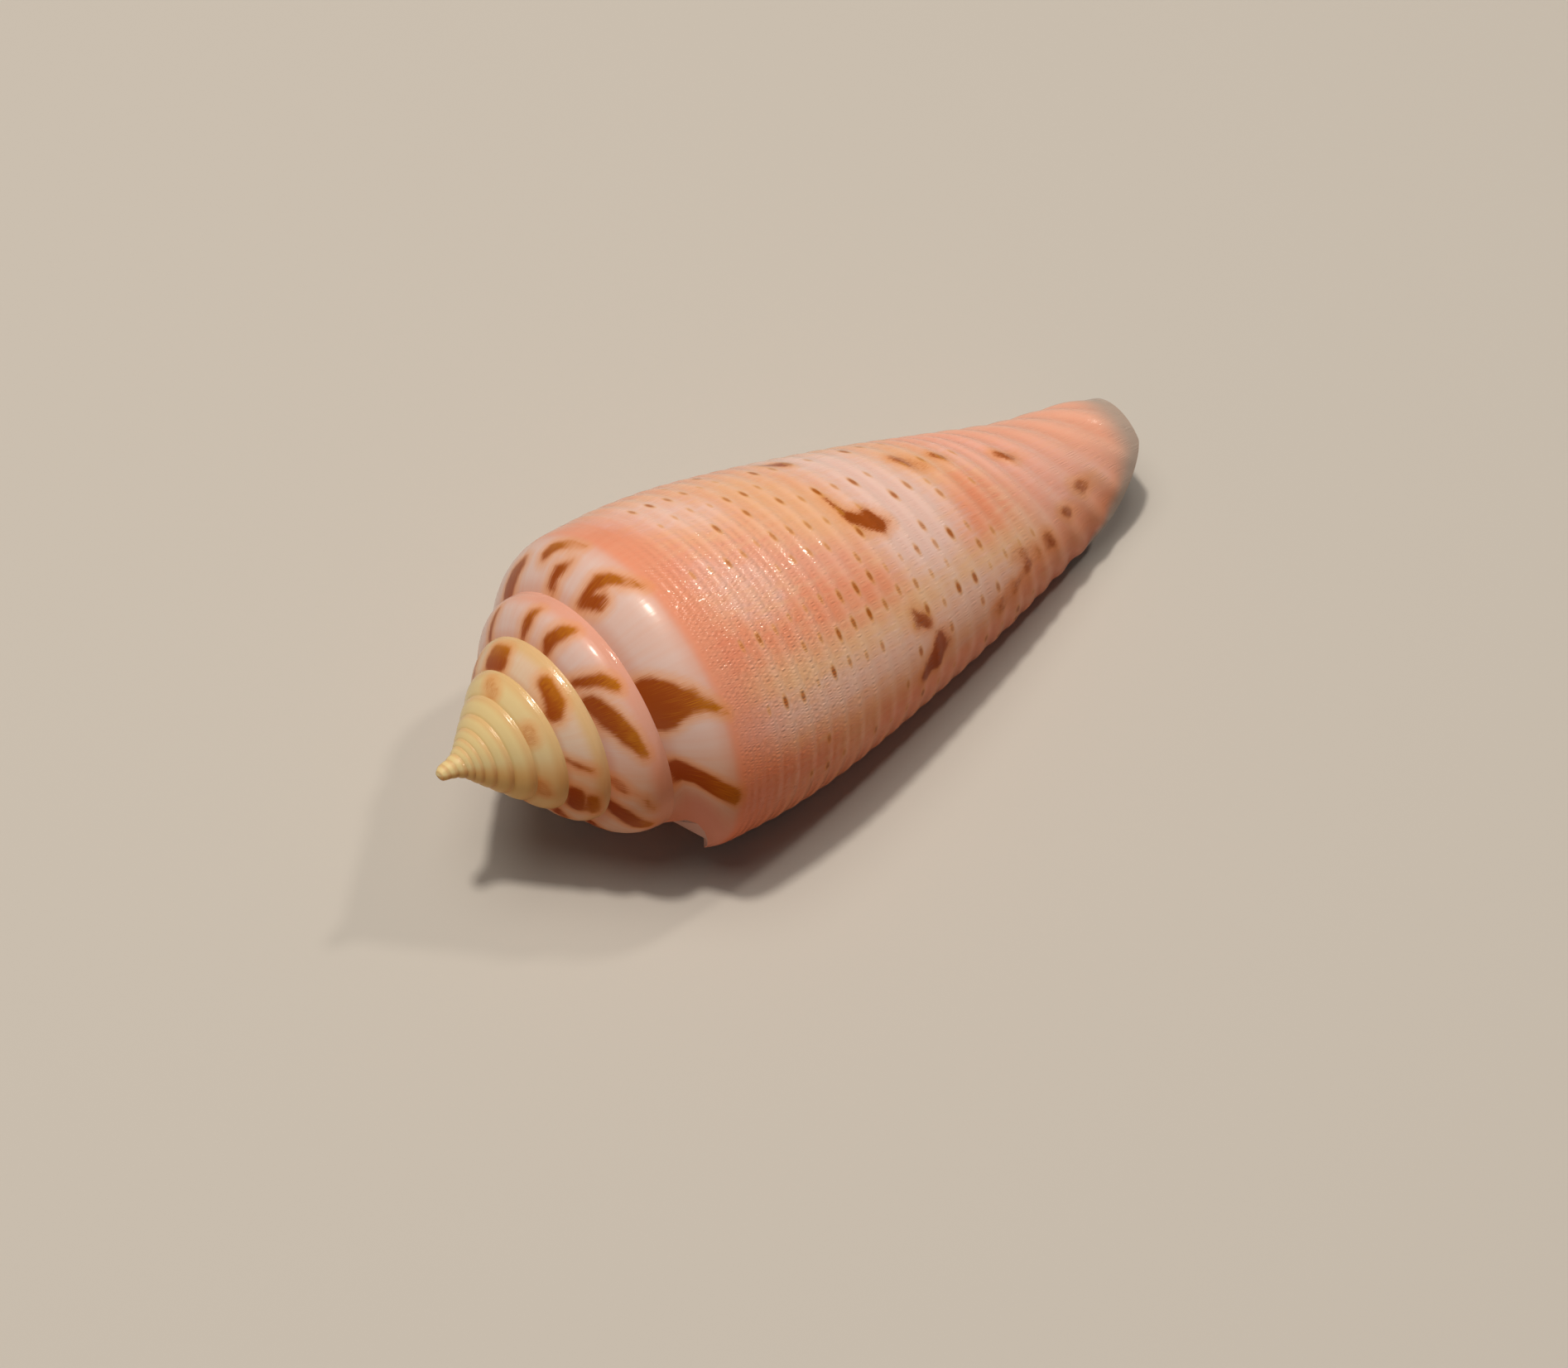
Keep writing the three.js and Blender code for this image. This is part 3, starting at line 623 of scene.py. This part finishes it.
for row in range(UNSEEN_ROWS):
    row_turn = UNSEEN_ROWS_FROM - UNSEEN_ROW_TURNS * (row + unseen.uniform(-0.15, 0.15))
    FLECK_ROWS.append((row_turn, unseen.uniform(0.0, 5.0), unseen.uniform(15.0, 19.0),
                       unseen.uniform(0.4, 0.95)))
fleck_rows = np.array(sorted(FLECK_ROWS))
fleck_phase = np.interp(turns, fleck_rows[:, 0], np.arange(len(fleck_rows)))
row_index = np.clip(np.round(fleck_phase).astype(int), 0, len(fleck_rows) - 1)
row_here = fleck_rows[row_index]
row_gap = np.gradient(fleck_rows[:, 0])[row_index]
in_row = (alongs > row_here[:, 1]) & (alongs < row_here[:, 2]) & outside
keep("fleck share", np.where(in_row, row_here[:, 3], 0.0))
keep("fleck row pitch", row_gap * millimetres_per_turn)
keep("cord pitch", millimetres_along)
growth_map = shell_mesh.uv_layers.new(name="Growth")
growth_map.data.foreach_set("uv", np.stack([turns, alongs], axis=1).reshape(-1))
fleck_map = shell_mesh.uv_layers.new(name="Flecks")
fleck_map.data.foreach_set("uv", np.stack([fleck_phase, alongs], axis=1).reshape(-1))
shell_mesh.validate()

shell = bpy.data.objects.new("cone_shell", shell_mesh)
bpy.context.scene.collection.objects.link(shell)


def linear(hex_colour):
    """Turns an sRGB hex colour into Blender's linear colour."""
    channels = [int(hex_colour[k:k + 2], 16) / 255.0 for k in (1, 3, 5)]
    return [c / 12.92 if c <= 0.04045 else ((c + 0.055) / 1.055) ** 2.4 for c in channels] + [1.0]


# Aragonite, as it grew and with nothing on it: it has a satin to glossy natural polish and is slightly
# translucent, so colours glow softly. Pigment lies in it as clouds, blotches and small flecks.
shell_material = bpy.data.materials.new("aragonite shell, natural polish")
shell_material.use_nodes = True
tree = shell_material.node_tree
tree.nodes.clear()


def add(kind, *values, **settings):
    """Adds a node with its settings, fills its active inputs in order, and gives its first output."""
    made = tree.nodes.new("ShaderNode" + kind)
    for name, value in settings.items():
        setattr(made, name, value)
    for socket, value in zip([s for s in made.inputs if s.enabled], values):
        if isinstance(value, bpy.types.NodeSocket):
            tree.links.new(value, socket)
        elif value is not None:
            socket.default_value = value
    return next(s for s in made.outputs if s.enabled)


SOFT = {"interpolation_type": "SMOOTHSTEP"}
COLOUR = {"data_type": "RGBA"}

growth = add("SeparateXYZ", add("UVMap", uv_map="Growth")).node
turn = growth.outputs["X"]
along = growth.outputs["Y"]
position = add("TexCoord").node.outputs["Object"]
brown_mark, white_cloud_and_highlight, yellow_cloud, salmon_cloud, pink_cloud = [
    add("Attribute", attribute_name=name).node.outputs["Fac"]
    for name in ("brown mark", "white cloud and highlight", "yellow cloud", "salmon cloud", "pink cloud")]
front_edge, inside, fleck_share, row_pitch, cord_pitch = [
    add("Attribute", attribute_name=name).node.outputs["Fac"]
    for name in ("front edge", "inside", "fleck share", "fleck row pitch", "cord pitch")]

# Noises that the colours share: clouds, ragged edges and a grain, with their sizes in millimetres, and
# streaks along the growth lines, counted per turn. At the shoulder, where a turn is 59 mm long, the
# broad streaks are about 1 mm apart and the fine ones 0.14 mm.
CLOUD_SIZE = 3.0
RAGGED_SIZE = 0.5
GRAIN_SIZE = 0.09
STREAKS_PER_TURN = 60.0
FIBRES_PER_TURN = 420.0
drift = add("TexNoise", position, None, MM / CLOUD_SIZE, 3.0, 0.55)
streak_place = add("CombineXYZ", add("Math", turn, STREAKS_PER_TURN, operation="MULTIPLY"),
                   add("Math", along, 0.3, operation="MULTIPLY"))
streak = add("TexNoise", streak_place, None, 1.0, 2.0, 0.5)
ragged = add("TexNoise", position, None, MM / RAGGED_SIZE, 2.0, 0.6)
fibre_place = add("CombineXYZ", add("Math", turn, FIBRES_PER_TURN, operation="MULTIPLY"),
                  add("Math", along, 1.4, operation="MULTIPLY"))
fibre = add("TexNoise", fibre_place, None, 1.0, 1.5, 0.6)
grain = add("TexNoise", position, None, MM / GRAIN_SIZE, 1.0, 0.6)
mottle = add("Math", add("Math", drift, 0.82, operation="MULTIPLY"),
             add("Math", streak, 0.18, operation="MULTIPLY"), operation="ADD")

# Body whorl: a pale salmon ground under the clouds, deeper below the shoulder and darker near the lip as
# painted shade, with the cords' crests a little paler than their grooves. The same noise breaks up every
# cloud's edge.
ground_tone = add("MapRange", mottle, 0.40, 0.60, **SOFT)
ground = add("Mix", ground_tone, linear("#eebc9b"), linear("#eaa784"), **COLOUR)
broken = add("Math", mottle, 12.0, -7.5, operation="MULTIPLY_ADD")
broken = add("Math", ragged, 3.0, broken, operation="MULTIPLY_ADD")
for cloud, colour, strength in ((pink_cloud, "#eaa691", 0.75), (yellow_cloud, "#eec394", 0.6),
                                (salmon_cloud, "#ea8a68", 0.62), (white_cloud_and_highlight, "#ecccc5", 0.92)):
    edge = add("Math", cloud, broken, operation="ADD")
    cover_share = add("MapRange", edge, -1.3, 1.3, 0.0, strength, **SOFT)
    ground = add("Mix", cover_share, ground, linear(colour), **COLOUR)
front_reach = add("Math", along, add("Math", mottle, 5.0, operation="MULTIPLY"), operation="ADD")
front_pink = add("MapRange", front_reach, 19.0, 22.0, 0.0, 0.6, **SOFT)
ground = add("Mix", front_pink, ground, linear("#ecab99"), **COLOUR)
# Painted shade: a darker salmon just behind the lip, on the side that lies low.
painted_shade_by_lip = add("MapRange", turn, -0.145, -0.07, 0.0, 0.75, **SOFT)
ground = add("Mix", painted_shade_by_lip, ground, linear("#d27c5c"), **COLOUR)
shoulder_reach = add("Math", drift, 5.0, add("Math", ragged, 1.6, along, operation="MULTIPLY_ADD"),
                     operation="MULTIPLY_ADD")
shoulder = add("Math", add("MapRange", shoulder_reach, 2.4, 6.4, 0.9, 0.0, **SOFT),
               add("MapRange", drift, 0.40, 0.58, 0.45, 1.0, **SOFT), operation="MULTIPLY")
ground = add("Mix", shoulder, ground, linear("#e38a6f"), **COLOUR)
groove = add("Math", add("Math", along, 2.0 * math.pi, operation="MULTIPLY"), operation="COSINE")
groove_share = add("Math", add("MapRange", groove, -0.2, -1.0, 0.0, 0.06),
                   add("MapRange", along, 0.5, 1.5), operation="MULTIPLY")
ground = add("Mix", groove_share, ground, linear("#dd8462"), **COLOUR)
crest_share = add("Math", add("MapRange", groove, -0.4, 1.0, 0.0, 0.26),
                  add("MapRange", drift, 0.42, 0.58, 0.1, 1.0), operation="MULTIPLY")
crest_share = add("Math", crest_share, add("MapRange", along, 0.5, 1.5), operation="MULTIPLY")
ground = add("Mix", crest_share, ground, linear("#f3d6c6"), **COLOUR)

# Ramps: cream near the apex, then white with a pink margin beside the next seam and a darker line at the
# whorl's own seam, partly its colour and partly painted shade in its crease. On the last turn the ramp's
# colour fades into the body's at the shoulder.
age = add("MapRange", turn, -3.7, -1.4, **SOFT)
ramp_tone = add("MapRange", mottle, 0.40, 0.60, **SOFT)
ramp_white = add("Mix", ramp_tone, linear("#e0c6c0"), linear("#dfb8ab"), **COLOUR)
ramp_colour = add("Mix", age, linear("#e2cc96"), ramp_white, **COLOUR)
pink_age = add("MapRange", turn, -2.3, -1.5, **SOFT)
margin_colour = add("Mix", pink_age, linear("#dab580"), linear("#dfa08a"), **COLOUR)
wavering = add("Math", along, add("Math", drift, 1.2, -0.6, operation="MULTIPLY_ADD"), operation="ADD")
margin = add("MapRange", wavering, -0.60, -0.25, 0.0, 0.85, **SOFT)
ramp_colour = add("Mix", margin, ramp_colour, margin_colour, **COLOUR)
near_lip = add("MapRange", turn, -0.13, -0.05, 0.0, 0.9, **SOFT)
ramp_colour = add("Mix", near_lip, ramp_colour, linear("#d8968a"), **COLOUR)
# The seam line is partly the seam's own darker colour and partly painted shade in the crease.
seam_tint_and_shade = add("MapRange", along, -0.86, -1.0, 0.0, 0.45, **SOFT)
seam_tint_and_shade_colour = add("Mix", age, linear("#d2ae6c"), linear("#d08a6c"), **COLOUR)
ramp_colour = add("Mix", seam_tint_and_shade, ramp_colour, seam_tint_and_shade_colour, **COLOUR)
on_ramp = add("MapRange", wavering, -0.26, -0.42, **SOFT)
on_ramp = add("Math", on_ramp, add("MapRange", along, 0.6, 0.0), operation="MULTIPLY")
before_last = add("Math", turn, -1.0, operation="LESS_THAN")
on_ramp = add("Math", on_ramp, before_last, operation="MAXIMUM")
surface = add("Mix", on_ramp, ground, ramp_colour, **COLOUR)

# Blotches: brown with golden streaks, a thin orange edge and a warm tint round it. Noise makes them
# ragged, and on the body they reach a little further along the cords' crests.
uneven = add("Math", add("Math", ragged, drift, operation="ADD"), 1.2, -1.4, operation="MULTIPLY_ADD")
uneven = add("Math", fibre, 0.45, uneven, operation="MULTIPLY_ADD")
lobes = add("Math", add("MapRange", along, 0.5, 1.5, 0.0, 0.08), groove, operation="MULTIPLY")
uneven = add("Math", uneven, lobes, operation="ADD")
warm = add("MapRange", add("Math", brown_mark, uneven, operation="ADD"), -0.6, -0.1, 0.0, 0.45, **SOFT)
surface = add("Mix", warm, surface, linear("#e29a5c"), **COLOUR)
blotch = add("MapRange", add("Math", brown_mark, uneven, operation="ADD"), -0.18, 0.24, **SOFT)
golden = add("Math", drift, 2.6, add("Math", fibre, 1.2, along, operation="MULTIPLY_ADD"),
             operation="MULTIPLY_ADD")
on_body = add("MapRange", along, 0.3, 1.0)
golden = add("Mix", on_body, add("MapRange", golden, 1.0, 1.7, **SOFT),
             add("MapRange", ragged, 0.42, 0.75, 0.0, 0.6, **SOFT))
brown = add("Mix", golden, linear("#984206"), linear("#bd7410"), **COLOUR)
blotch_colour = add("Mix", add("MapRange", blotch, 0.25, 0.98), linear("#d07c30"), brown, **COLOUR)
surface = add("Mix", add("Math", blotch, 0.97, operation="MULTIPLY"), surface, blotch_colour, **COLOUR)

# Flecks: each is drawn round the crossing of a cord's crest and a row, in millimetres from it. Chance
# moves it along the cord, and sets its size and strength and whether it is there at all.
FLECK_LENGTH = 0.30
FLECK_WIDTH = 0.125
lattice = add("SeparateXYZ", add("UVMap", uv_map="Flecks")).node
row, cord = lattice.outputs["X"], lattice.outputs["Y"]
whole_row = add("Math", row, operation="ROUND")
whole_cord = add("Math", cord, operation="ROUND")
chance = add("TexWhiteNoise", add("CombineXYZ", whole_row, whole_cord), noise_dimensions="3D").node
chances = add("SeparateXYZ", chance.outputs["Color"]).node
from_row = add("Math", add("Math", row, whole_row, operation="SUBTRACT"), row_pitch, operation="MULTIPLY")
from_row = add("Math", chances.outputs["X"], 0.4, from_row, operation="MULTIPLY_ADD")
from_row = add("Math", from_row, 0.2, operation="SUBTRACT")
from_cord = add("Math", add("Math", cord, whole_cord, operation="SUBTRACT"), cord_pitch,
                operation="MULTIPLY")
fleck_size = add("Math", chances.outputs["Y"], 0.5, 0.7, operation="MULTIPLY_ADD")
reach = add("VectorMath", add("CombineXYZ", add("Math", from_row, FLECK_LENGTH, operation="DIVIDE"),
                              add("Math", from_cord, FLECK_WIDTH, operation="DIVIDE")), operation="LENGTH")
reach = reach.node.outputs["Value"]
fleck = add("MapRange", add("Math", reach, fleck_size, operation="DIVIDE"), 1.7, 0.4, **SOFT)
present = add("Math", fleck_share, chances.outputs["Z"], operation="GREATER_THAN")
fleck = add("Math", fleck, present, operation="MULTIPLY")
fleck = add("Math", fleck, add("MapRange", chances.outputs["Y"], 0.0, 1.0, 0.4, 0.95), operation="MULTIPLY")
fleck_colour = add("Mix", add("MapRange", fleck, 0.3, 0.9), linear("#df9f48"), linear("#ac5c08"), **COLOUR)
surface = add("Mix", fleck, surface, fleck_colour, **COLOUR)

# From the apex to the front end, the side just behind the lip, which lies low, is painted darker and a
# warmer orange as painted shade, and hardly shines. The ramps shine less than the cords.
low_side_shade_and_dull = add("Math", add("Math", turn, 2.0 * math.pi, 0.1 * math.pi, operation="MULTIPLY_ADD"),
               operation="COSINE")
low_side_shade_and_dull = add("MapRange", low_side_shade_and_dull, 0.5, 0.88, **SOFT)
# Painted shade: the colour of the side that lies low is multiplied darker and warmer.
surface = add("Mix", low_side_shade_and_dull, surface, linear("#ffdfc2"), blend_type="MULTIPLY", **COLOUR)
shine = add("Math", add("MapRange", low_side_shade_and_dull, 0.0, 1.0, 0.5, 0.04),
            add("MapRange", along, -0.1, -0.4, 1.0, 0.45), operation="MULTIPLY")

# The front end thins out to a greyish edge, and the inside is a pale salmon. The grain varies the
# brightness by up to a tenth, so that no colour is flat from close by.
thin = add("Math", front_edge, add("Math", drift, 3.0, -1.5, operation="MULTIPLY_ADD"), operation="ADD")
thin_share = add("MapRange", thin, 2.2, 0.3, 0.0, 0.9, **SOFT)
surface = add("Mix", thin_share, surface, linear("#aea298"), **COLOUR)
surface = add("Mix", inside, surface, linear("#cf9a88"), **COLOUR)
speckle = add("Math", add("MapRange", grain, 0.3, 0.7, 0.92, 1.08),
              add("MapRange", ragged, 0.35, 0.65, 0.965, 1.035), operation="MULTIPLY")
surface = add("HueSaturation", None, None, speckle, None, surface)

# Growth lines, about 0.46 mm apart at the shoulder, and fine threads, two to a cord, that the lines
# break up into beads. The bump is up to 0.05 mm deep. Real growth lines are finer and wouldn't show,
# so they are drawn this coarse.
GROWTH_LINES_PER_TURN = 127.0
BUMP_DEPTH = 0.05 / MM
line_place = add("CombineXYZ", add("Math", turn, GROWTH_LINES_PER_TURN, operation="MULTIPLY"),
                 add("Math", along, 0.35, operation="MULTIPLY"))
growth_lines = add("TexNoise", line_place, None, 1.0, 1.5, 0.6)
line_share = add("MapRange", along, -0.2, 1.0, 0.12, 0.6)
depth = add("Math", add("Math", growth_lines, line_share, operation="MULTIPLY"),
            add("Math", ragged, 0.2, operation="MULTIPLY"), operation="ADD")
cords_down = add("Math", add("Math", along, 0.0, operation="MINIMUM"), 3.0, along, operation="MULTIPLY_ADD")
thread = add("Math", add("Math", cords_down, 4.0 * math.pi, operation="MULTIPLY"), operation="COSINE")
thread_share = add("Math", add("MapRange", along, -0.36, -0.14, 0.0, 0.42, **SOFT),
                   add("MapRange", along, 9.0, 3.0, 0.25, 1.0, **SOFT), operation="MULTIPLY")
thread_share = add("Math", thread_share, add("MapRange", turn, -0.41, -0.36, 0.15, 1.0),
                   operation="MULTIPLY")
thread = add("Math", add("Math", thread, thread_share, operation="MULTIPLY"),
             add("MapRange", growth_lines, 0.35, 0.65, 0.2, 1.9), operation="MULTIPLY")
depth = add("Math", depth, thread, operation="ADD")
bumps = add("Bump", 0.8, BUMP_DEPTH, None, depth)
gloss = add("Math", add("MapRange", drift, 0.3, 0.7, 0.09, 0.15),
            add("MapRange", along, -0.1, -0.5, 0.0, 0.10), operation="ADD")

# Aragonite's IOR is between 1.53 and 1.69, and 1.45 matches the softer shine of this shell.
bsdf = add("BsdfPrincipled").node
tree.links.new(surface, bsdf.inputs["Base Color"])
tree.links.new(gloss, bsdf.inputs["Roughness"])
tree.links.new(bumps, bsdf.inputs["Normal"])
tree.links.new(shine, bsdf.inputs["Specular IOR Level"])
bsdf.inputs["IOR"].default_value = 1.45
bsdf.inputs["Subsurface Weight"].default_value = 0.05
bsdf.inputs["Subsurface Radius"].default_value = (1.0, 0.55, 0.4)
bsdf.inputs["Subsurface Scale"].default_value = 0.0006
output = tree.nodes.new("ShaderNodeOutputMaterial")
tree.links.new(bsdf.outputs["BSDF"], output.inputs["Surface"])
shell_mesh.materials.append(shell_material)

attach(shell, "root")
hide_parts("shell")

# Camera
# It looks down on the shell from beyond its apex, close by, so the spire looks large.
CAMERA_PLACE = Vector((-0.065988, -0.073682, 0.158215))
CAMERA_FORWARD = Vector((0.34940, 0.39328, -0.85044))
CAMERA_UP = Vector((0.49756, 0.69122, 0.52407))
camera_data = bpy.data.cameras.new("camera")
camera_data.sensor_width = 36.0
camera_data.lens = 83.63
camera_data.clip_start = 0.01
camera = bpy.data.objects.new("camera", camera_data)
right = CAMERA_FORWARD.cross(CAMERA_UP).normalized()
up = right.cross(CAMERA_FORWARD).normalized()
turned = Matrix((right, up, -CAMERA_FORWARD.normalized())).transposed()
camera.matrix_world = Matrix.Translation(CAMERA_PLACE) @ turned.to_4x4()
bpy.context.scene.collection.objects.link(camera)
bpy.context.scene.camera = camera

# Floor and light
# A plain pale floor under soft studio light: a small and a large lamp almost overhead, a small weak
# one at the side for the glints on the cords, and a faint broad fill.
FLOOR_HALF = 1.5
floor_mesh = bpy.data.meshes.new("floor")
floor_corners = [(-FLOOR_HALF, -FLOOR_HALF, 0.0), (FLOOR_HALF, -FLOOR_HALF, 0.0),
                 (FLOOR_HALF, FLOOR_HALF, 0.0), (-FLOOR_HALF, FLOOR_HALF, 0.0)]
floor_mesh.from_pydata(floor_corners, [], [(0, 1, 2, 3)])
floor_object = bpy.data.objects.new("floor", floor_mesh)
bpy.context.scene.collection.objects.link(floor_object)

# Board with matt paint: an even, pale tone with no highlight.
floor_material = bpy.data.materials.new("matt painted board")
floor_material.use_nodes = True
tree = floor_material.node_tree
floor_bsdf = tree.nodes["Principled BSDF"]
floor_bsdf.inputs["Base Color"].default_value = linear("#c4c1bc")
floor_bsdf.inputs["Roughness"].default_value = 0.9
floor_mesh.materials.append(floor_material)


def lamp(name, azimuth, elevation, distance, size, watts, colour):
    """Hangs a round lamp that looks at the shell, from two angles in degrees and a distance in metres."""
    light = bpy.data.lights.new(name, "AREA")
    light.shape = "DISK"
    light.size = size
    light.energy = watts
    light.color = linear(colour)[:3]
    held = bpy.data.objects.new(name, light)
    a, e = math.radians(azimuth), math.radians(elevation)
    held.location = Vector((math.cos(e) * math.cos(a), math.cos(e) * math.sin(a), math.sin(e))) * distance
    held.rotation_euler = held.location.to_track_quat("Z", "Y").to_euler()
    bpy.context.scene.collection.objects.link(held)


lamp("key", 130.0, 79.0, 0.5, 0.04, 1.3, "#fff3e4")
lamp("overhead", 130.0, 79.0, 0.5, 0.32, 0.94, "#fff3e4")
lamp("side", 0.0, 57.0, 0.5, 0.04, 0.40, "#fff3e4")
lamp("fill", -140.0, 35.0, 0.7, 0.5, 0.05, "#fff8f0")
world = bpy.data.worlds.new("studio")
world.use_nodes = True
world.node_tree.nodes["Background"].inputs["Color"].default_value = linear("#f4f2ef")
world.node_tree.nodes["Background"].inputs["Strength"].default_value = 0.06
bpy.context.scene.world = world
bpy.context.scene.view_settings.view_transform = "Standard"
